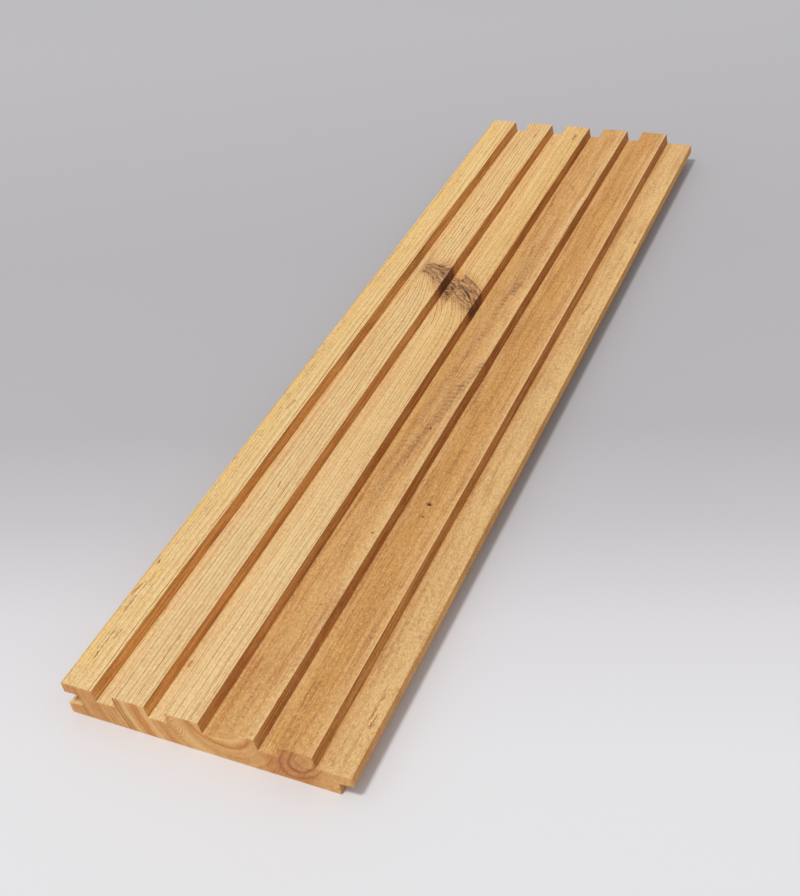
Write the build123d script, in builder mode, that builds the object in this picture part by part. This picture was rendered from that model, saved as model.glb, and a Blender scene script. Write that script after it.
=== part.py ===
from build123d import *
import os

# A fluted timber cladding board, moulded in one piece from a planed softwood blank and sawn square to length.
# Five flat-topped ribs run the whole length. The left edge has a groove and the right edge a tongue, so that
# neighbouring boards interlock and the gap between their end ribs looks like one more flute.
# Millimetres. X runs across the board, Y along it and Z up from the flat back, with the origin in the middle
# of the back.

# The blank
thickness = 20.5  # flat back to rib tops
length = 550.0

# The ribs and the flutes between them
rib_count = 5
pitch = 27.7  # one rib's left edge to the next
rib_width = 16.8  # across the flat top
flute_depth = 6.8
wall_lean = 0.7  # each flute wall leans back by this much over its depth, so that water runs off
floor_radius = 0.5  # left by the rounded corners of the moulding cutter

# The tongue, whose top is flush with the flute floors
tongue_reach = 6.5  # past the width that one board covers
tongue_length = 6.9  # from its tip to the shoulder beneath it
tongue_tip = 5.5  # thickness at the tip
tongue_root = 6.5  # thickness at the shoulder

# The groove, whose lower wall rises inwards beneath the tapered tongue
upper_lip = 6.3
lower_lip = 6.2
groove_depth = 8.0
groove_rise = 1.2

# The eased edges
rib_arris = 0.5
edge_arris = 0.3

cover_width = rib_count * pitch
total_width = cover_width + tongue_reach
left = -total_width / 2
right = total_width / 2
floor_height = thickness - flute_depth
flute_width = pitch - rib_width
last_rib_right = left + cover_width - flute_width
middle_flute = left + (rib_count * pitch - flute_width) / 2
shoulder = right - tongue_length
groove_end = left + groove_depth
groove_top = thickness - upper_lip

with BuildPart() as board:
    with BuildSketch(Plane.XZ) as section:
        # Planed blank
        Rectangle(total_width, thickness, align=(Align.CENTER, Align.MIN))

        # Flutes between the ribs, each wider at its mouth than at its floor
        with Locations((middle_flute, thickness)):
            with GridLocations(pitch, 0, rib_count - 1, 1):
                Polygon(
                    (-flute_width / 2, 0),
                    (-flute_width / 2 + wall_lean, -flute_depth),
                    (flute_width / 2 - wall_lean, -flute_depth),
                    (flute_width / 2, 0),
                    align=None,
                    mode=Mode.SUBTRACT,
                )

        # Step down from the last rib to the nailing flange and the tongue
        Polygon(
            (last_rib_right, thickness),
            (last_rib_right + wall_lean, floor_height),
            (right, floor_height),
            (right, thickness),
            align=None,
            mode=Mode.SUBTRACT,
        )

        # Rebate under the tongue, for the next board's lower lip
        Polygon(
            (shoulder, 0),
            (shoulder, floor_height - tongue_root),
            (right, floor_height - tongue_tip),
            (right, 0),
            align=None,
            mode=Mode.SUBTRACT,
        )

        # Groove in the left edge, for the last board's tongue
        Polygon(
            (left, lower_lip),
            (groove_end, lower_lip + groove_rise),
            (groove_end, groove_top),
            (left, groove_top),
            align=None,
            mode=Mode.SUBTRACT,
        )

        # Eased edges along the rib tops
        corners = section.vertices()
        fillet(corners.group_by(Axis.Y)[-1], radius=rib_arris)

        # The cutter's radius where the flute walls meet the floors
        floor_corners = section.vertices().filter_by_position(
            Axis.Y, floor_height - floor_radius / 2, floor_height + floor_radius / 2
        )
        fillet(floor_corners.sort_by(Axis.X)[:-1], radius=floor_radius)

        # Eased edges of the lips, the back and the tongue's tip
        corners = section.vertices()
        left_corners = corners.group_by(Axis.X)[0].filter_by_position(Axis.Y, 0, groove_top)
        right_corners = corners.group_by(Axis.X)[-1]
        back_right_corner = corners.group_by(Axis.Y)[0].sort_by(Axis.X)[-1]
        fillet(left_corners + right_corners + [back_right_corner], radius=edge_arris)
    extrude(amount=length / 2, both=True)

board.part.label = "cladding_board"
os.makedirs("parts", exist_ok=True)
export_step(board.part, "parts/cladding_board.step")
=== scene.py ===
import bpy
import numpy as np
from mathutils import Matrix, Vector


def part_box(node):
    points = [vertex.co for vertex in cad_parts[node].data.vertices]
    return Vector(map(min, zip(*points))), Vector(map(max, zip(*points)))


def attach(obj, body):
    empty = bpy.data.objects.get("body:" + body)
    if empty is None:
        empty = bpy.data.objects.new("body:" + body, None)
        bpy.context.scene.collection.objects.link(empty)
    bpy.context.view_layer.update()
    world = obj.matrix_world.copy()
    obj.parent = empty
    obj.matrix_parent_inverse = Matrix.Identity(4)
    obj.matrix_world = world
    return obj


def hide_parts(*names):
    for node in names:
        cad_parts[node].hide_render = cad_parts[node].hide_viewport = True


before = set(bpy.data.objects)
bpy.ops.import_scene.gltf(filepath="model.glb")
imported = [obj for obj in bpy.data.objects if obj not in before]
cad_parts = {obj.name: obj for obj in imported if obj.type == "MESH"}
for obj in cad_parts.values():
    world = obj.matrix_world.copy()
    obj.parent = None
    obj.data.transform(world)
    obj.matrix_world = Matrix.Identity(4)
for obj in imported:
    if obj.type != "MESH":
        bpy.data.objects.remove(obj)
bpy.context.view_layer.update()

# The board lies on its flat back, as it would be stored, and is looked down on from its near end and tongue
# side, so that it runs away from the lower left to the upper right of the picture.
camera_place = (0.2696, -0.5361, 0.4519)
camera_turn = (49.98, 7.12, 23.88)
camera_lens = 52.16

camera = bpy.data.objects.new("camera", bpy.data.cameras.new("camera"))
bpy.context.collection.objects.link(camera)
camera.location = camera_place
camera.rotation_euler = np.radians(camera_turn)
camera.data.sensor_fit = "VERTICAL"
camera.data.sensor_height = 36
camera.data.lens = camera_lens
camera.data.clip_start = 0.01
bpy.context.scene.camera = camera
bpy.context.scene.view_settings.view_transform = "Standard"


def linear(*tone):
    """A colour given as the screen shows it, 0 to 255, turned into the linear values that shaders take."""
    shown = np.array(tone) / 255
    value = np.where(shown > 0.04045, ((shown + 0.055) / 1.055) ** 2.4, shown / 12.92)
    return (*value.tolist(), 1.0)


class Socket:
    """A value, vector or colour at the output of a shader node. Arithmetic on values adds Math nodes."""

    tree = None

    def __init__(self, output):
        self.output = output

    @classmethod
    def node(cls, kind, settings, sockets, output=0):
        """Adds a node: its settings first, with a ramp's stops, then the values or links that it reads."""
        made = cls.tree.nodes.new("ShaderNode" + kind)
        for name, value in settings.items():
            if name == "stops":
                ramp = made.color_ramp.elements
                while len(ramp) < len(value):
                    ramp.new(0.5)
                for element, (position, tone) in zip(ramp, value):
                    element.position = position
                    element.color = tone
            else:
                setattr(made, name, value)
        for name, value in sockets.items():
            if isinstance(value, cls):
                cls.tree.links.new(value.output, made.inputs[name])
            else:
                made.inputs[name].default_value = value
        return cls(made.outputs[output])

    def math(self, operation, *others):
        """One Math node on this value and the others."""
        return Socket.node("Math", {"operation": operation}, dict(enumerate((self, *others))))

    def __add__(self, other):
        return self.math("ADD", other)

    def __sub__(self, other):
        return self.math("SUBTRACT", other)

    def __rsub__(self, other):
        return Socket.node("Math", {"operation": "SUBTRACT"}, {0: other, 1: self})

    def __mul__(self, other):
        return self.math("MULTIPLY", other)

    def __truediv__(self, other):
        return self.math("DIVIDE", other)

    def __rtruediv__(self, other):
        return Socket.node("Math", {"operation": "DIVIDE"}, {0: other, 1: self})

    __radd__ = __add__
    __rmul__ = __mul__


# The studio: a wide soft light high on the left of the board, an even light from all round, and a pale floor
# painted with a falloff of light, darker far off and lighter towards the viewer.
lamp_place = (-0.8, -2.0, 6.0)
lamp_width = 1.1
lamp_power = 200
sky_level = 0.56
floor_width = 9.0
floor_start = 0.5
floor_reach = 0.8
floor_run = (0.29, 0.957)
floor_roughness = 0.8
# Tones of the floor from far to near: a painted falloff of light
floor_falloff_tones = [
    (0.0, linear(188, 186, 189)),
    (0.45, linear(180, 178, 181)),
    (0.68, linear(181, 179, 182)),
    (0.77, linear(195, 193, 196)),
    (0.86, linear(217, 215, 218)),
    (0.95, linear(225, 224, 226)),
]

lamp = bpy.data.objects.new("soft_light", bpy.data.lights.new("soft_light", "AREA"))
bpy.context.collection.objects.link(lamp)
lamp.location = lamp_place
lamp.rotation_euler = lamp.location.to_track_quat("Z", "Y").to_euler()
lamp.data.shape = "DISK"
lamp.data.size = lamp_width
lamp.data.energy = lamp_power

world = bpy.data.worlds.new("even_light")
bpy.context.scene.world = world
world.use_nodes = True
Socket.tree = world.node_tree
seen = Socket.node("LightPath", {}, {}, "Is Camera Ray")
tone = Socket.node("Mix", {"data_type": "RGBA"}, {0: seen, 6: (1, 1, 1, 1), 7: floor_falloff_tones[0][1]}, 2)
level = sky_level + seen * (1 - sky_level)
background = world.node_tree.nodes["Background"]
world.node_tree.links.new(tone.output, background.inputs["Color"])
world.node_tree.links.new(level.output, background.inputs["Strength"])

floor_mesh = bpy.data.meshes.new("studio_floor")
half = floor_width / 2
floor_corners = [(-half, -half, 0), (half, -half, 0), (half, half, 0), (-half, half, 0)]
floor_mesh.from_pydata(floor_corners, [], [(0, 1, 2, 3)])
studio_floor = bpy.data.objects.new("studio_floor", floor_mesh)
bpy.context.collection.objects.link(studio_floor)
floor_paint = bpy.data.materials.new("floor_paint")
floor_paint.use_nodes = True
floor_mesh.materials.append(floor_paint)
Socket.tree = floor_paint.node_tree
place = Socket.node("TexCoord", {}, {}, "Object")
forward = Socket.node("SeparateXYZ", {}, {0: place}, "Y")
side = Socket.node("SeparateXYZ", {}, {0: place}, "X")
towards = (floor_start - forward * floor_run[1] + side * floor_run[0]) / floor_reach
tone = Socket.node("ValToRGB", {"stops": floor_falloff_tones}, {0: towards})
shader = floor_paint.node_tree.nodes["Principled BSDF"]
floor_paint.node_tree.links.new(tone.output, shader.inputs["Base Color"])
shader.inputs["Roughness"].default_value = floor_roughness

# The board: one length of softwood, planed all round and then moulded, with five ribs, four flutes between
# them, a groove in its left edge and a tongue on its right. All its edges are slightly eased. Its sizes in
# millimetres are those of the solid that it stands for: the section is drawn from the left edge and the back.
low, high = (np.array(corner) * 1000 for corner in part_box("cladding_board"))
width, length, thickness = high - low
rib_count = 5
rib_width = 16.8
tongue_reach = 6.5
pitch = (width - tongue_reach) / rib_count
flute_depth = 6.8
wall_lean = 0.7
tongue_length = 6.9
tongue_tip = 5.5
tongue_root = 6.5
groove_depth = 8.0
groove_rise = 1.2
upper_lip = 6.3
lower_lip = 6.2
arris = 0.5
small_arris = 0.3
end_arris = 0.25
corner_steps = 4

# The knot: a branch cut lengthwise by the planer. It leaves the heart at the right of rib 3 and slants up the
# board to flute 1, and it has shrunk and cracked along its length. Places are across and along the board. A
# crack has its two ends, its width and how dark it is, and a pin hole has its place and its radius.
knot_right = 72.0
knot_left = 23.0
knot_heart = 326.0
knot_rise = 0.62
knot_bow = 0.0085
knot_wide = 11.5
knot_narrow = 5.0
knot_neck = (31.0, 45.0)
knot_centre = (48, 346)
knot_dish = 0.12
knot_ripple = 0.05
knot_ripple_turn = 2.4
crack_fall = 1.3
knot_cracks = (
    ((57.5, 341.5), (62.5, 336.0), 0.8, 0.8),
    ((62.5, 336.0), (67.0, 330.5), 1.2, 1.0),
    ((67.0, 330.5), (69.5, 326.5), 0.8, 0.8),
    ((46.8, 348.4), (49.8, 345.6), 1.2, 1.0),
    ((51.5, 343.5), (53.5, 342.0), 0.8, 0.7),
    ((31.0, 360.0), (37.5, 358.4), 0.8, 0.65),
    ((37.5, 358.4), (44.0, 356.0), 1.0, 0.75),
    ((55.5, 352.3), (66.0, 343.2), 0.9, 0.65),
    ((66.0, 343.2), (71.5, 337.6), 0.8, 0.6),
    ((51.2, 361.0), (54.8, 357.6), 0.9, 0.6),
    ((36.5, 355.4), (38.6, 354.2), 0.8, 0.65),
    ((39.2, 352.4), (41.6, 351.0), 0.8, 0.5),
    ((47.0, 339.0), (50.0, 337.4), 1.2, 0.45),
    ((50.8, 336.8), (52.6, 334.8), 1.0, 0.6),
)
hole_fall = 2.0
pin_holes = (
    (114.6, 155.3, 1.0),
    (115.0, 146.0, 0.8),
    (92.2, 210.2, 0.8),
    (96.0, 128.5, 0.7),
    (92.6, 78.3, 0.6),
    (65.9, 536.0, 0.8),
)
floor_level = thickness - flute_depth


def rounded(corners, radii, steps):
    """Each corner of a closed outline becomes an arc that is tangent to its two sides.

    With u and v the unit vectors from the corner to its neighbours, the arc starts and ends at the radius
    over the tangent of half their angle, its centre is on their bisector, and its points turn evenly.
    """
    before = np.roll(corners, 1, axis=0) - corners
    after = np.roll(corners, -1, axis=0) - corners
    u = before / np.linalg.norm(before, axis=1, keepdims=True)
    v = after / np.linalg.norm(after, axis=1, keepdims=True)
    half_angle = np.arccos(np.clip((u * v).sum(axis=1), -1, 1)) / 2
    bisector = (u + v) / np.linalg.norm(u + v, axis=1, keepdims=True)
    centre = corners + bisector * (radii / np.sin(half_angle))[:, None]
    start = corners + u * (radii / np.tan(half_angle))[:, None] - centre
    end = corners + v * (radii / np.tan(half_angle))[:, None] - centre
    sweep = np.pi - 2 * half_angle
    share = np.linspace(0, 1, steps)[None, :, None]
    wide = sweep[:, None, None]
    arc = np.sin((1 - share) * wide) * start[:, None] + np.sin(share * wide) * end[:, None]
    return (centre[:, None] + arc / np.sin(wide)).reshape(-1, 2)


def spread(stops, spacing, clearance):
    """Places from 0 to the last stop, a spacing apart, that keep every stop.

    spacing is a function of place. The places cut the running sum of 1 / spacing into equal steps, and those
    that fall nearer to a stop than the clearance give way to it.
    """
    fine = np.linspace(0, stops[-1], 20001)
    count = np.concatenate([[0], np.cumsum(np.diff(fine) / spacing(fine[:-1]))])
    even = np.interp(np.linspace(0, count[-1], int(count[-1]) + 2), count, fine)
    free = np.abs(even[:, None] - stops[None, :]).min(axis=1) > clearance
    return np.sort(np.concatenate([stops, even[free]]))


def bump(value, middle, reach):
    """1 at the middle, falling to 0 at the reach on either side as a cosine does."""
    return 0.5 + 0.5 * np.cos(np.pi * np.clip(np.abs(value - middle) / reach, 0, 1))


def distance_to_run(across, along, start, end):
    """Distance in plan from each point to the straight run between start and end."""
    run = np.subtract(end, start)
    share = ((across - start[0]) * run[0] + (along - start[1]) * run[1]) / (run @ run)
    share = np.clip(share, 0, 1)
    return np.hypot(across - start[0] - share * run[0], along - start[1] - share * run[1])


# Corners of the section, anticlockwise from the lower left, each with its radius
section = [
    (0, 0, small_arris),
    (width - tongue_length, 0, small_arris),
    (width - tongue_length, floor_level - tongue_root, small_arris),
    (width, floor_level - tongue_tip, small_arris),
    (width, floor_level, small_arris),
]
for rib in reversed(range(rib_count)):
    left_foot = rib * pitch - wall_lean
    right_foot = rib * pitch + rib_width + wall_lean
    section.append((right_foot, floor_level, arris))
    section.append((rib * pitch + rib_width, thickness, arris))
    section.append((rib * pitch, thickness, arris))
    if rib:
        section.append((left_foot, floor_level, arris))
section += [
    (0, thickness - upper_lip, small_arris),
    (groove_depth, thickness - upper_lip, small_arris),
    (groove_depth, lower_lip + groove_rise, small_arris),
    (0, lower_lip, small_arris),
]
section = np.array(section)
outline = rounded(section[:, :2], section[:, 2], corner_steps)
outline = np.concatenate([outline, outline[:1]])
steps = np.linalg.norm(np.diff(outline, axis=0), axis=1)
run = np.concatenate([[0], np.cumsum(steps)])

# Points of the mesh lie close together at the knot and the pin holes, and wide apart elsewhere
back_spacing = 6.0
plain_spacing = 1.5
knot_spacing = 0.55
plain_row_spacing = 4.2
least_gap = 0.2
sharp_angle = 35
moulded_from = floor_level - 0.5


def outline_spacing(place):
    """Millimetres between points of the outline: fine on the knot, wide on the back."""
    across = np.interp(place, run, outline[:, 0])
    up = np.interp(place, run, outline[:, 1])
    on_knot = bump(across, knot_centre[0], 40) ** 0.3 * (up > moulded_from)
    return np.where(up < 0.1, back_spacing, plain_spacing - (plain_spacing - knot_spacing) * on_knot)


def row_spacing(place):
    """Millimetres between rows along the board: fine at the knot and at the pin holes."""
    fine = bump(place, knot_centre[1], 42) ** 0.3
    for hole in pin_holes:
        fine = np.maximum(fine, bump(place, hole[1], 4) ** 0.5)
    return plain_row_spacing - (plain_row_spacing - knot_spacing) * fine


place = spread(run, outline_spacing, least_gap)[:-1]
across = np.interp(place, run, outline[:, 0])
up = np.interp(place, run, outline[:, 1])
along = spread(np.array([0, end_arris, length - end_arris, length]), row_spacing, least_gap)
tangent_across = np.roll(across, -1) - np.roll(across, 1)
tangent_up = np.roll(up, -1) - np.roll(up, 1)
tangent_size = np.hypot(tangent_across, tangent_up)
out_across = tangent_up / tangent_size
out_up = -tangent_across / tangent_size

# Cracks and holes go down where the surface looks up, and the knot is slightly dished between them. Both ends
# of the board are eased by drawing in their outermost rows.
wide_across, wide_along = np.meshgrid(across, along)
fall = np.clip(out_up, 0, 1)[None, :] * (up > moulded_from)[None, :]
reach = knot_right - wide_across
middle = knot_heart + knot_rise * reach + knot_bow * reach * (knot_right - knot_left - reach)
half_width = np.interp(wide_across, knot_neck, (knot_narrow, knot_wide))
on_knot = bump((wide_along - middle) / half_width, 0, 1.15)
on_knot = on_knot * (wide_across > knot_left - 2) * (wide_across < knot_right + 1)
depth = on_knot * (knot_dish + knot_ripple * np.sin(knot_ripple_turn * (wide_along - middle)))
for start, end, wide, dark in knot_cracks:
    apart = distance_to_run(wide_across, wide_along, start, end)
    depth = depth + crack_fall * wide * dark**2 * np.exp(-((apart / (0.5 * wide)) ** 2))
for hole_across, hole_along, radius in pin_holes:
    apart = np.hypot(wide_across - hole_across, wide_along - hole_along)
    depth = depth + hole_fall * radius**3 * np.exp(-((apart / (0.8 * radius)) ** 4))
depth = depth * fall
inset = np.where((along < end_arris / 2) | (along > length - end_arris / 2), end_arris, 0)[:, None] + depth

points = np.empty((len(along), len(across), 3))
points[..., 0] = across - inset * out_across + low[0]
points[..., 1] = along[:, None] + low[1]
points[..., 2] = up - inset * out_up + low[2]
rows, ring = points.shape[:2]
index = np.arange(rows * ring).reshape(rows, ring)
quads = np.stack(
    [index[:-1], index[1:], np.roll(index, -1, axis=1)[1:], np.roll(index, -1, axis=1)[:-1]], axis=-1
).reshape(-1, 4)
faces = quads.tolist() + [index[0].tolist(), index[-1, ::-1].tolist()]
board_mesh = bpy.data.meshes.new("board")
board_mesh.from_pydata((points.reshape(-1, 3) / 1000).tolist(), [], faces)
board_mesh.polygons.foreach_set("use_smooth", np.ones(len(faces), dtype=bool))
board_mesh.set_sharp_from_angle(angle=np.radians(sharp_angle))
board_mesh.update()
board = bpy.data.objects.new("fluted_board", board_mesh)
bpy.context.collection.objects.link(board)

# The wood: planed softwood, unfinished. The tree's heart ran along the board just above rib 4, so the rings
# stand upright in the pale sapwood on the left and cup in the honey-brown heartwood on the right, where a
# second ring centre lies in rib 5.
wood = bpy.data.materials.new("planed_softwood")
wood.use_nodes = True
board_mesh.materials.append(wood)
Socket.tree = wood.node_tree


def noise(across, along, up, detail=3.0, roughness=0.5):
    """Noise from about 0 to 1, from coordinates that are each scaled first: 1 is one soft patch."""
    place = Socket.node("CombineXYZ", {}, {0: across, 1: along, 2: up})
    sockets = {"Vector": place, "Scale": 1.0, "Detail": detail, "Roughness": roughness}
    return Socket.node("TexNoise", {}, sockets)


def smooth(value, start, end):
    """0 up to start and 1 from end on, easing between them; start may be the larger."""
    settings = {"interpolation_type": "SMOOTHSTEP", "clamp": False}
    return Socket.node("MapRange", settings, {0: value, 1: start, 2: end})


def band(value, middle, reach):
    """1 at the middle, easing to 0 at the reach on either side."""
    return smooth((value - middle).math("ABSOLUTE"), reach, 0.0)


def mix(factor, under, over, kind="MIX"):
    """The second colour laid over the first where the factor is 1."""
    settings = {"data_type": "RGBA", "blend_type": kind}
    return Socket.node("Mix", settings, {0: factor, 6: under, 7: over}, 2)


def tint(factor, under, tone):
    """The colour multiplied by the tone where the factor is 1: a stain, or paler wood where it is above 1."""
    return mix(factor, under, tone, "MULTIPLY")


def vector(operation, *sockets, output=0):
    """One Vector Math node."""
    return Socket.node("VectorMath", {"operation": operation}, dict(enumerate(sockets)), output)


def hypotenuse(side, rise):
    """The distance made by two distances at right angles."""
    return (side * side + rise * rise).math("SQRT")


def parts(whole):
    """The three values of a vector."""
    split = Socket.node("SeparateXYZ", {}, {0: whole}).output.node
    return [Socket(output) for output in split.outputs]


position = Socket.node("TexCoord", {}, {}, "Object")
millimetres = Socket.node("VectorMath", {"operation": "SCALE"}, {0: position, "Scale": 1000.0})
side_place, end_place, up = parts(millimetres)
across = side_place - float(low[0])
along = end_place - float(low[1])
facing_across, facing_along, facing_up = parts(Socket.node("NewGeometry", {}, {}, "Normal"))
wall = smooth(facing_across.math("ABSOLUTE"), 0.6, 0.9)
end_face = smooth(along.math("MINIMUM", float(length) - along), 1.0, 0.6)
end_face = end_face * smooth(facing_along.math("ABSOLUTE"), 0.5, 0.8)
face = smooth(facing_up, 0.3, 0.6) * smooth(up, floor_level - 1.0, floor_level - 0.6)

# Where the knot is, as in the mesh, and how far a point lies to its side: -1 at its lower edge, 1 at its
# upper. By flute 1 it shifts up the board and widens with depth, because the branch also sloped in the wood.
knot_reach = knot_right - across
knot_drop = (thickness - up) * smooth(across, 40.0, 27.0) * 1.5
knot_middle = (
    knot_reach * knot_rise
    + knot_reach * (knot_right - knot_left - knot_reach) * knot_bow
    + knot_drop * 1.35
    + knot_heart
)
knot_half = knot_narrow + smooth(across, knot_neck[0], knot_neck[1]) * (knot_wide - knot_narrow)
knot_half = knot_half - smooth(across, 56.0, 72.0) * 2.0 + knot_drop * 0.5
knot_below = knot_middle - along
knot_side = (along - knot_middle) / knot_half
knot_ends = smooth(across, knot_left - 4.0, knot_left + 5.0)
knot_ends = knot_ends * smooth(across, knot_right + 1.3, knot_right + 0.7)

# Growth rings: the distance from the nearer of the two ring centres, which wander a little on their way along
# the board. Rings are about 2 mm apart near the heart and at rib 2, and 4 mm between. Below the knot the
# grain swings left towards it, and above it fans out a little.
heart = (84.5, 22.0)
second_heart = (123.5, 16.0)
second_start = 20.0
ring_count = 0.36
ring_change = 0.11
ring_beat = 56.0
ring_crowd = 53.5
wander = (noise(0.0, along * 0.006, 3.0, 2.0) - 0.5) * 6
ripple = (noise(across * 0.05, along * 0.012, up * 0.05, 3.0) - 0.5) * 1.4
ripple = ripple + (noise(across * 0.3, along * 0.06, up * 0.3) - 0.5) * 0.9
swing_reach = (knot_below - knot_half).math("MAXIMUM", 0.0)
swing_edge = smooth(across, 18.0, 34.0) * smooth(across, 84.0, 70.0) * smooth(knot_below, -14.0, 2.0)
swing = (swing_reach * (-1 / 13.0)).math("EXPONENT") * swing_edge * -12.0
spread_reach = (knot_below * -1.0 - knot_half).math("MAXIMUM", 0.0)
spread_edge = smooth(across, 22.0, 32.0) * smooth(across, 80.0, 60.0) * smooth(knot_below, 14.0, -2.0)
swing = swing + (spread_reach * (-1 / 6.0)).math("EXPONENT") * spread_edge * 2.0


def radius_from(centre):
    """Distance in the section from a ring centre to the point."""
    return hypotenuse(across + wander - centre[0], up - centre[1])


first_radius = radius_from(heart)
second_radius = radius_from(second_heart)
ring_radius = first_radius.math("SMOOTH_MIN", second_radius + second_start, 2.0) + ripple + swing
turn = 2 * np.pi / ring_beat
ring_phase = (ring_radius - ring_crowd) * turn
rings = ring_radius * ring_count + ring_phase.math("SINE") * (ring_change / turn)
ring_wide = 1.0 / (ring_phase.math("COSINE") * ring_change + ring_count)


def ring_lines(count, wide, soft, crisp):
    """Late wood: a thin dark line at the outer side of each ring, soft inwards and crisp outwards.

    soft and crisp are the widths of its two borders in millimetres, and each ring has a strength of its own.
    """
    inwards = (1.0 - count.math("FRACT")) * wide
    own = Socket.node("TexWhiteNoise", {"noise_dimensions": "1D"}, {"W": count.math("FLOOR")}, "Value")
    return smooth(inwards, soft, crisp) * smooth(inwards, 0.0, crisp * 0.5) * (0.2 + 0.8 * own)


late_wood = ring_lines(rings, ring_wide, 0.75, 0.25)
fine_lines = ring_lines(rings * 2.3 + 0.4, ring_wide / 2.3, 0.6, 0.25)
ring_tint = smooth(rings.math("FRACT"), 0.1, 0.9)
broken = smooth(noise(across * 0.9, along * 0.05, up * 0.9, 6.0, 0.82), 0.34, 0.56)
fine_broken = smooth(noise(across * 1.2, along * 0.07, 20.0 + up * 1.2, 6.0, 0.82), 0.4, 0.58)

# Mottling, dark and pale dashes of cut fibres, soft streaks and broad clouds along the board
clouds = noise(across * 0.06, along * 0.014, up * 0.05, 3.0)
streaks = noise(across * 0.45, along * 0.012, up * 0.4, 5.0, 0.65)
mottle = noise(across * 1.0, along * 0.65, up * 0.9, 5.0, 0.82)
dark_dashes = smooth(noise(across * 1.6, along * 0.55, up * 1.5, 4.0, 0.75), 0.52, 0.68)
pale_dashes = smooth(noise(across * 1.4, along * 0.6, 40.0 + up * 1.2, 4.0, 0.75), 0.52, 0.68)

# Knife marks of the planer: faint dark lines across the board, stronger here and there
knife_pitch = 3.6
knife_wander = noise(across * 0.12, along * 0.03, 33.0) * 7.0
knife_marks = (along * (2 * np.pi / knife_pitch) + knife_wander).math("SINE") * 0.5 + 0.5
knife_marks = knife_marks * (0.3 + 0.7 * smooth(mottle, 0.35, 0.6))
knife_strength = smooth(noise(across * 0.2, along * 0.03, 15.0, 4.0, 0.7), 0.4, 0.64)

# Sapwood: straw, clouded with pink, with thin brown lines at its rings and a golden edge on the left
straw = linear(235, 203, 148)
straw_pink = linear(232, 194, 140)
straw_line = linear(186, 138, 62)
sapwood = mix(smooth(clouds, 0.35, 0.65) * 0.6 + ring_tint * 0.4, straw, straw_pink)
near_knot = smooth(knot_below, 50.0, 14.0) * smooth(knot_below, -8.0, 4.0) * smooth(across, 20.0, 30.0)
first_rib = smooth(across, 19.0, 16.0)
plain_right = smooth(across, 58.0, 64.0) * smooth(along, 60.0, 200.0) * 0.45
line_strength = 0.9 + 0.4 * near_knot + 0.3 * smooth(along, 100.0, 400.0) - plain_right
off_wall = 1.0 - wall * 0.7
line_strength = ((0.25 + 0.75 * broken) * line_strength + first_rib * 0.3) * off_wall
sapwood = tint((late_wood * line_strength).math("MINIMUM", 1.0), sapwood, straw_line)
fine_strength = (fine_broken + first_rib * 0.4).math("MINIMUM", 1.0) * off_wall * 0.9
sapwood = tint(fine_lines * fine_strength, sapwood, straw_line)
sapwood = tint(knife_marks * knife_strength * 0.12, sapwood, linear(206, 176, 140))
warmer = smooth(along, 60.0, 400.0) * (smooth(across, 40.0, 58.0) * 0.5 + 0.45)
sapwood = tint(warmer, sapwood, linear(252, 241, 218))
sapwood = tint(plain_right * 2.2, sapwood, (0.955, 0.93, 0.905, 1.0))
gold_place = noise(across * 0.2, along * 0.045, 5.0, 4.0, 0.6) + (7.0 - across) * 0.02
gold = smooth(gold_place, 0.5, 0.56) * smooth(across, 14.0, 9.0)
sapwood = mix(gold * 0.4 * smooth(streaks, 0.35, 0.55), sapwood, linear(226, 178, 88))
gold_outline = band(gold_place, 0.51, 0.03) * smooth(across, 12.0, 7.0) * face
sapwood = mix(gold_outline * 0.35, sapwood, linear(156, 98, 40))

# Heartwood: broad bands of honey, toffee and amber along the board, with knife marks, gold specks, grey
# streaks and amber dashes. On the back its border with the sapwood is soft and wavy.
pale_honey = linear(215, 167, 108)
honey = linear(213, 162, 100)
toffee = linear(209, 159, 98)
amber = linear(201, 148, 82)
cream = linear(226, 185, 130)
tan = linear(219, 176, 117)
bands = (
    (72.0, pale_honey), (76.5, pale_honey), (79.5, toffee), (88.5, toffee), (91.0, honey), (95.0, pale_honey),
    (98.5, cream), (103.5, pale_honey), (108.0, amber), (117.5, amber), (121.0, honey), (126.0, pale_honey),
    (130.0, pale_honey), (134.0, tan), (145.0, tan),
)
band_place = across + (noise(across * 0.05, along * 0.013, 9.0) - 0.5) * 7 - bands[0][0]
stops = [((place - bands[0][0]) / (width - bands[0][0]), tone) for place, tone in bands]
heartwood = Socket.node("ValToRGB", {"stops": stops}, {0: band_place / float(width - bands[0][0])})
heartwood = mix(late_wood * broken * 0.25, heartwood, linear(150, 94, 40))
streaky = smooth(streaks, 0.5, 0.62) * (0.75 - 0.4 * smooth(across, 126.0, 131.0))
heartwood = tint(streaky, heartwood, linear(216, 186, 146))
on_knife_band = smooth(across, 76.0, 79.0) * smooth(across, 100.0, 88.0) * band(along, 225.0, 90.0)
on_knife_band = on_knife_band * 0.4 + 0.18
heartwood = tint(knife_marks * knife_strength * on_knife_band, heartwood, linear(202, 170, 134))
gold_speckle = smooth(noise(across * 0.9, along * 0.4, 80.0 + up, 4.0, 0.8), 0.5, 0.64)
heartwood = mix(gold_speckle * 0.45, heartwood, linear(222, 170, 92))
grey_streaks = smooth(noise(across * 0.3, along * 0.02, 90.0, 5.0, 0.75), 0.48, 0.62)
heartwood = tint(grey_streaks * 0.6, heartwood, linear(222, 200, 180))
amber_dashes = smooth(noise(across * 0.6, along * 0.09, 60.0, 5.0, 0.82), 0.47, 0.6)
amber_dashes = amber_dashes * band(across, 115.0, 15.0)
heartwood = mix(amber_dashes * 0.5, heartwood, linear(206, 140, 62))
deep = smooth(up, floor_level - 1.0, 2.0)
heart_side = (across + clouds - 73.0 + deep * (clouds - 0.5) * 30.0) / (1.0 + deep * 7.0)
in_heart = smooth(heart_side, -0.9, 0.9)
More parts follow.
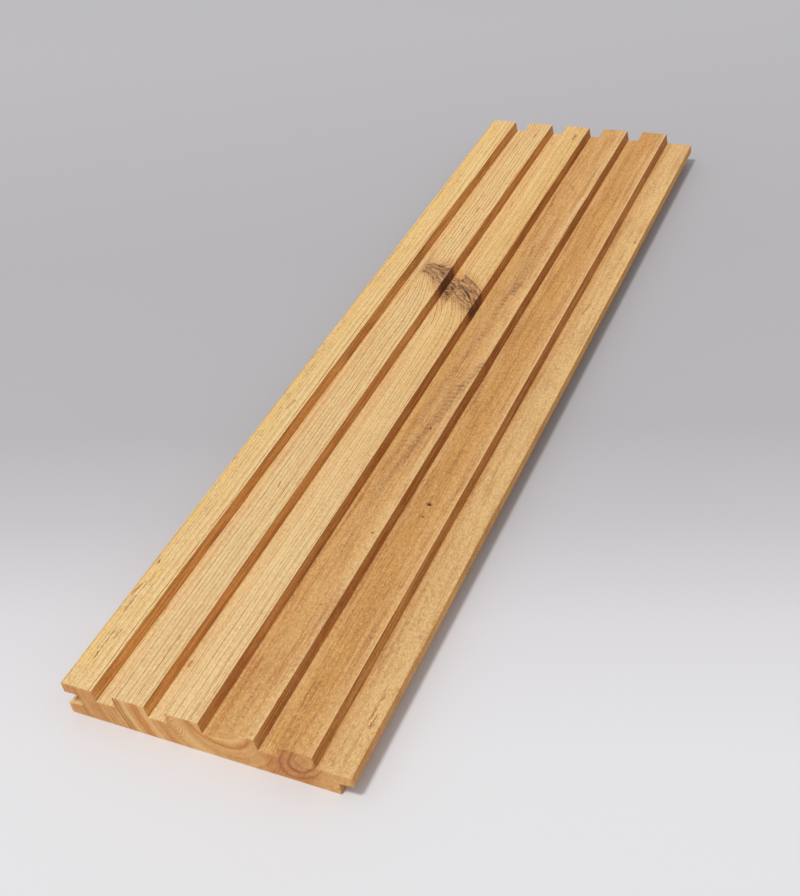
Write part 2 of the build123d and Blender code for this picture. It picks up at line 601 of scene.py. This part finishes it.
colour = mix(in_heart, sapwood, heartwood)

# Stains in the heartwood, and flecks in it and along the left edge, on the moulded face. Each is a short run
# between two places across and along the board, or a spot where they are the same, with its width and
# strength.
plan_across = across + (noise(across * 0.4, along * 0.2, up * 0.5, 4.0, 0.6) - 0.5) * 3.0
plan_along = along + (noise(across * 0.5, along * 0.3, 7.0, 4.0, 0.6) - 0.5) * 4.0
wavy_plan = Socket.node("CombineXYZ", {}, {0: plan_across, 1: plan_along, 2: 0.0})
true_plan = Socket.node("CombineXYZ", {}, {0: across, 1: along, 2: 0.0})


def run_mask(start, end, wide, blur=1.0, plan=wavy_plan):
    """1 on the straight run between start and end, easing to 0 at half its width times 1 + blur."""
    run = np.subtract(end, start).astype(float)
    apart = vector("SUBTRACT", plan, (*start, 0.0))
    if run.any():
        share = vector("DOT_PRODUCT", apart, (*run, 0.0), output="Value") * float(1 / (run @ run))
        share = share.math("MAXIMUM", 0.0).math("MINIMUM", 1.0)
        foot = Socket.node("VectorMath", {"operation": "SCALE"}, {0: (*run, 0.0), "Scale": share})
        apart = vector("SUBTRACT", apart, foot)
    return smooth(vector("LENGTH", apart, output="Value"), wide / 2 * (1 + blur), wide / 2 * (1 - blur))


mauve_stain = (
    ((91, 425), (91, 372), 4.2, 0.4), ((91, 368), (91.5, 350), 5.4, 0.6),
    ((91.3, 350), (90.8, 340), 3.2, 0.9), ((91, 350), (90.5, 338), 1.8, 0.8),
    ((89, 334), (88.5, 318), 3.4, 0.75), ((88.5, 316), (89, 296), 4.2, 0.55),
    ((88.5, 292), (88, 272), 3.6, 0.4), ((99, 268), (95.5, 248), 4.2, 0.6),
    ((95, 246), (92.5, 216), 4.2, 0.75), ((91.5, 212), (89, 186), 3.6, 0.6),
    ((88.5, 184), (86, 148), 3.2, 0.55), ((99.5, 268), (106, 236), 4.0, 0.5),
    ((80.5, 256), (79.5, 212), 3.0, 0.35), ((86, 262), (85, 212), 3.0, 0.4),
    ((108.5, 318), (109, 292), 3.0, 0.3), ((120, 330), (121, 296), 2.6, 0.25),
)
stain = 0.0
for run_start, run_end, wide, strength in mauve_stain:
    stain = run_mask(run_start, run_end, wide, 1.0) * strength + stain
stain = stain.math("MINIMUM", 1.0) * face * smooth(mottle, 0.15, 0.6)
stain_marks = smooth((along * (2 * np.pi / knife_pitch) + knife_wander * 0.5).math("SINE"), -0.2, 0.9)
colour = tint(stain * (0.5 + 0.4 * stain_marks), colour, linear(172, 142, 130))
grey_spot = run_mask((91.4, 347.0), (90.8, 341.5), 2.0, 0.9) * face
colour = mix(grey_spot * 0.55, colour, linear(128, 108, 98))

brown_flecks = (
    ((3, 79), (2.4, 80.5), 1.1, 0.8), ((2.5, 64), (2, 57), 1.1, 0.7),
    ((4.5, 57), (4, 46), 0.9, 0.6), ((5.5, 73), (5.2, 62), 0.8, 0.5),
    ((9.5, 36), (9.2, 30), 1.0, 0.5), ((6.8, 34), (6.5, 24), 0.8, 0.5),
    ((6.5, 21), (6.4, 18), 1.2, 0.8), ((9.5, 212), (8.5, 205), 1.8, 0.5),
    ((34, 149), (34.3, 145), 1.0, 0.6), ((34, 405), (34.3, 399), 1.0, 0.6),
    ((35, 429), (35.3, 425), 1.6, 0.5), ((38, 534), (38, 529), 1.8, 0.5),
    ((38.5, 41), (38.5, 40), 2.4, 0.35), ((47.5, 34), (47.5, 31), 1.8, 0.5),
    ((48, 537), (48.5, 534), 1.0, 0.4), ((101.5, 178), (101.5, 176), 1.0, 0.7),
    ((141.5, 79), (141.5, 79), 3.4, 0.4), ((140, 45), (139, 30), 0.9, 0.6),
    ((141.3, 33), (141, 26), 0.9, 0.7), ((142.6, 421), (142.5, 419), 1.0, 0.8),
    ((136, 350), (134.6, 338), 0.8, 0.5), ((136, 318), (137, 308), 0.8, 0.4),
    ((87, 469), (87.5, 464), 1.8, 0.4), ((113, 40), (113.4, 22), 0.8, 0.4),
    ((107, 40), (107.5, 26), 0.8, 0.4), ((110.5, 163), (110.2, 160), 1.0, 0.8),
    ((110.5, 153), (110.3, 150), 0.7, 0.6), ((82.5, 22), (82, 10), 0.9, 0.4),
    ((66, 539), (66.2, 530), 1.0, 0.7), ((76.5, 456), (76.5, 451), 1.4, 0.4),
    ((50, 452), (50.3, 446), 1.2, 0.4),
)
flecks = 0.0
for run_start, run_end, wide, strength in brown_flecks:
    flecks = run_mask(run_start, run_end, wide * 0.85, 0.8) * strength * 1.2 + flecks
colour = tint((flecks * face).math("MINIMUM", 1.0), colour, linear(186, 128, 70))

# The knot: brown and streaked along its length, ragged on its lower side, with a halo of darker wood, resin
# by the heart and in flute 2, and dark cracks. The pin holes are coloured here too.
knot_wave = (noise(across * 0.14, along * 0.14, up * 0.1, 3.0) - 0.5) * 0.7
knot_fine = noise((knot_side + knot_wave) * 7.5, across * 0.13, up * 0.2, 5.0, 0.7)
slant_across = across * 0.9 + along * 0.43
slant_along = along * 0.9 - across * 0.43
knot_ragged = (noise(slant_across * 0.6, slant_along * 0.05, up * 0.2, 5.0, 0.7) - 0.5) * 1.2
knot_lower = smooth(knot_side + knot_ragged, -1.5, -0.85)
knot_upper = smooth(knot_side + knot_ragged * 0.25, 1.15, 0.85)
moulded = smooth(up, floor_level - 3.0, floor_level - 2.5)
knot = knot_lower * knot_upper * knot_ends * moulded
knot_tones = [
    (0.28, linear(78, 42, 20)),
    (0.41, linear(137, 87, 50)),
    (0.57, linear(179, 125, 79)),
    (0.76, linear(215, 162, 106)),
]
knot_colour = Socket.node("ValToRGB", {"stops": knot_tones}, {0: (knot_fine - 0.5) * 2.0 + 0.49})
halo_reach = 2.6 - smooth(across, 38.0, 46.0) * 0.5
halo = smooth(knot_side.math("ABSOLUTE"), halo_reach, 1.0)
halo = halo * smooth(across, 18.0, 26.0) * smooth(across, 74.0, 71.0)
colour = tint(halo * moulded * 0.6, colour, linear(228, 198, 170))
colour = mix(knot * 0.95, colour, knot_colour)
crack_plan = Socket.node("CombineXYZ", {}, {0: across, 1: along + (knot_fine - 0.5) * 2.0, 2: 0.0})
resin = run_mask((67.6, 332.6), (71.0, 326.8), 2.0, 0.9, crack_plan) * face
colour = mix(resin * 0.8, colour, linear(198, 126, 46))
resin = run_mask((70.4, 329.4), (71.6, 325.8), 1.2, 0.9, crack_plan) * face
colour = mix(resin * 0.8, colour, linear(112, 64, 24))
colour = mix(run_mask((47.5, 363.5), (48.5, 359.0), 4.5, 1.0) * face * 0.6, colour, linear(224, 164, 92))
cracks = 0.0
for run_start, run_end, wide, dark in knot_cracks:
    cracks = run_mask(run_start, run_end, wide * 0.95, 0.7, crack_plan) * dark + cracks
cracks = (cracks * moulded).math("MINIMUM", 1.0)
colour = mix(cracks * (0.6 + 0.4 * smooth(mottle, 0.3, 0.5)), colour, linear(44, 24, 12))
holes = 0.0
for hole_across, hole_along, radius in pin_holes:
    hole = run_mask((hole_across, hole_along), (hole_across, hole_along), radius * 2.0, 0.7, true_plan)
    holes = hole * min(radius, 1.0) + holes
holes = (holes * moulded).math("MINIMUM", 1.0)
colour = tint(holes, colour, linear(104, 62, 34))

# Mottling and dashes lie over everything. Then comes painted light: the flute floors are painted paler,
# most of all beside the feet of the walls, and the faces a little paler, most of all at the far end. A
# painted highlight runs along the right arris of each rib but the third.
colour = tint(smooth(mottle, 0.4, 0.7) * (0.5 + 0.25 * in_heart), colour, linear(214, 186, 148))
colour = tint(dark_dashes * 0.5, colour, linear(196, 158, 112))
colour = mix(pale_dashes * 0.4, colour, linear(246, 214, 152))
in_pitch = (across / float(pitch)).math("FRACT") * float(pitch)
# Painted light: the floor just beside the foot of each wall, up to rib 4, is painted paler against the shade
# there
foot = band(in_pitch, rib_width + 1.6, 2.2) * smooth(up, floor_level + 0.5, floor_level) * face
colour = tint(foot * smooth(across, 100.0, 90.0), colour, (1.06, 1.1, 1.14, 1.0))
# Painted light: the flute floors are painted paler against the shade that falls in the flutes, the flange's
# floor bluer
on_floor = smooth(up, floor_level + 0.5, floor_level) * face
colour = tint(on_floor, colour, mix(in_heart, (1.04, 1.05, 1.05, 1.0), (1.07, 1.08, 1.04, 1.0)))
colour = tint(on_floor * smooth(across, 128.0, 131.0), colour, (0.97, 1.0, 1.12, 1.0))
# Painted light: the upward faces are painted a little paler, as the lamp lights them
colour = tint(face, colour, mix(in_heart, (1.04, 1.08, 1.08, 1.0), (1.07, 1.11, 1.11, 1.0)))
colour = tint(face * first_rib, colour, (1.03, 1.04, 1.0, 1.0))
# Painted light: the faces grow paler towards the far end, where the lamp's light falls off
colour = tint(smooth(along, 200.0, 500.0) * face, colour, (1.07, 1.07, 1.06, 1.0))
# Painted highlight along the right arris of each rib but the third
rib_arris_highlight = band(in_pitch, 16.0, 0.6) * smooth((across - 70.5).math("ABSOLUTE"), 2.0, 3.0) * face
colour = mix(rib_arris_highlight * smooth(streaks, 0.35, 0.6) * 0.25, colour, linear(250, 222, 176))
# A stronger painted highlight along rib 5's right arris and, mid-board, along the flange's right edge
right_arris_highlight = band(across, 127.3, 0.6) * face + band(across, 144.3, 0.6) * band(along, 340.0, 160.0) * face
colour = mix(right_arris_highlight * 0.5, colour, linear(246, 206, 148))
colour = Socket.node("Gamma", {}, {0: colour, 1: 1.0 + (0.5 - streaks) * 0.45})

# The flute walls and the board's sides were cut by the sides of the knives and are more streaked than the
# faces. They are painted redder and darker than the faces, partly their own tone and partly painted shade,
# with painted shade along their tops and feet. They are a little paler towards the near end.
wall_streaks = noise(up * 0.7, along * 0.02, across * 0.05, 4.0, 0.65)
wall_lines = noise(up * 1.8, along * 0.05, 3.0 + across * 0.05, 3.0, 0.65)
# Painted shade along the top of each wall, under the arris, and along its foot where it meets the floor
wall_edge_shade = smooth(up, thickness - 1.7, thickness - 0.6) + smooth(up, floor_level + 1.8, floor_level + 0.6)
wall_edge_shade = wall_edge_shade * smooth(up, floor_level - 1.0, floor_level)
on_tongue = smooth(across, 143.0, 144.4)
# Painted shade with the walls' own redder tone: walls are darkened and reddened, the tongue's side less so
wall_shade_and_tone = mix(on_tongue, linear(251, 231, 192), (1.1, 0.93, 0.49, 1.0))
colour = tint(wall, colour, wall_shade_and_tone)
paler_walls = wall * smooth(along, 420.0, 20.0) * smooth(across, 90.0, 60.0)
colour = tint(paler_walls, colour, (1.12, 1.08, 1.05, 1.0))
near_walls = wall * smooth(along, 230.0, 60.0) * smooth(across, 46.0, 72.0) * (1.0 - on_tongue)
colour = tint(near_walls, colour, (1.13, 1.25, 1.5, 1.0))
colour = tint(wall * smooth(across, 24.0, 20.0), colour, (1.1, 1.14, 1.2, 1.0))
# The painted shade at the tops and feet of the walls is laid on here
colour = tint(wall * wall_edge_shade * 0.45, colour, linear(214, 182, 150))
wall_marks = wall * (1.0 - on_tongue * 0.7)
colour = tint(wall_marks * smooth(wall_streaks, 0.42, 0.6) * 0.6, colour, linear(200, 160, 122))
colour = tint(wall_marks * smooth(wall_lines, 0.48, 0.64) * 0.6, colour, linear(198, 158, 120))
colour = tint(wall * knot * (1.2 - knot_fine), colour, linear(172, 142, 128))

# End grain: tan, with brown and pale stripes that follow the rings. A golden bowl with a brown rim lies below
# rib 4, a small eye of fine rings in rib 3, and a slanting cup of two dark rings in rib 5.
bowl_centre = (82.5, 27.0)
cup_centre = (121.5, 14.0)
eye_centre = (58.8, 15.0)
end_tan = linear(238, 185, 114)
end_brown = linear(204, 142, 70)
end_bands = noise(ring_radius * 0.45, 0.0, 0.0, 4.0, 0.7)
end_specks = noise(across * 1.6, along * 0.2, up * 1.0, 4.0, 0.7)
end_clouds = noise(across * 0.2, 50.0, up * 0.16, 4.0, 0.6)
end_depth = smooth(end_bands, 0.42, 0.62) * 0.6 + smooth(end_clouds, 0.4, 0.7) * 0.4
end_colour = mix(end_depth, end_tan, end_brown)
end_left = smooth(across, 30.0, 24.0)
end_colour = tint(end_left * 0.5, end_colour, linear(236, 214, 200))
dark_stripes = (
    (56.0, 1.0, 0.8, linear(190, 134, 76)),
    (54.2, 0.9, 0.8, linear(194, 138, 80)),
    (46.6, 2.2, 0.9, linear(238, 196, 140)),
    (44.4, 1.8, 0.9, linear(240, 200, 146)),
    (35.0, 4.0, 0.7, linear(238, 206, 162)),
    (78.0, 1.2, 0.5, linear(214, 170, 120)),
    (81.0, 1.0, 0.5, linear(210, 160, 104)),
)
pale_stripes = ((51.2, 2.4), (41.0, 2.4), (25.0, 5.0))


def on_ring(radius, reach):
    """1 on the ring of a radius, to the left of the heart, easing to 0 at the reach on either side."""
    return band(first_radius + ripple, radius, reach) * smooth(across, 84.0, 78.0)


for radius, reach, strength, tone in dark_stripes:
    end_colour = tint(on_ring(radius, reach) * strength, end_colour, tone)
for radius, reach in pale_stripes:
    end_colour = mix(on_ring(radius, reach) * 0.7, end_colour, linear(248, 204, 134))
bowl = hypotenuse(across - bowl_centre[0], up - bowl_centre[1]) + (end_clouds - 0.5) * 1.5
end_colour = mix(smooth(bowl, 16.0, 14.0) * 0.6, end_colour, linear(236, 180, 114))
end_colour = tint(band(bowl, 17.2, 2.4) * 0.8, end_colour, linear(234, 196, 136))
gold_bowl = band(bowl, 13.2, 2.0) * smooth(across, 74.0, 84.0)
end_colour = mix(gold_bowl * 0.8, end_colour, linear(250, 204, 118))
below_cup = cup_centre[1] - up
cup_side = across - cup_centre[0] + below_cup * 0.45
cup_rise = below_cup.math("MAXIMUM", 0.0) * 0.85
cup = hypotenuse(cup_side, cup_rise) + (end_clouds - 0.5) * 1.5
end_colour = tint(smooth(cup, 5.0, 3.6), end_colour, (1.04, 1.08, 1.16, 1.0))
end_colour = tint(band(cup, 5.8, 1.4) * 0.8, end_colour, linear(206, 168, 130))
end_colour = tint(band(cup, 9.8, 1.5) * 0.7, end_colour, linear(214, 176, 136))
eye_side = across - eye_centre[0]
eye_rise = up - eye_centre[1]
eye = (eye_side * eye_side * 1.3 + eye_rise * eye_rise * 0.5).math("SQRT") + (end_specks - 0.5) * 1.4
eye_rings = smooth((eye * 3.9 + 1.5).math("SINE"), 0.0, 0.8) * smooth(eye, 8.0, 5.0)
end_colour = tint(eye_rings * 0.65, end_colour, linear(222, 184, 138))
end_right = smooth(across, 98.0, 106.0) * smooth(across, 132.0, 122.0)
end_colour = tint(end_right * 0.8, end_colour, linear(232, 208, 180))
right_stripes = smooth(noise(across * 1.1 - up * 0.55, 70.0, up * 0.12, 3.0), 0.48, 0.66) * end_right
end_colour = tint(right_stripes * 0.45, end_colour, linear(214, 174, 132))
end_colour = tint(smooth(end_specks, 0.42, 0.66) * 0.5, end_colour, linear(214, 178, 136))
colour = mix(end_face, colour, end_colour)

shader = Socket.tree.nodes["Principled BSDF"]
Socket.tree.links.new(colour.output, shader.inputs["Base Color"])
roughness = 0.5 + mottle * 0.2 + late_wood * 0.05 + cracks * 0.3 + holes * 0.4
Socket.tree.links.new(roughness.output, shader.inputs["Roughness"])
height = mottle * 0.6 - dark_dashes * 0.3 + late_wood * 0.3
relief = Socket.node("Bump", {}, {"Strength": 0.6, "Distance": 0.00015, "Height": height})
Socket.tree.links.new(relief.output, shader.inputs["Normal"])

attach(board, "root")
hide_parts("cladding_board")
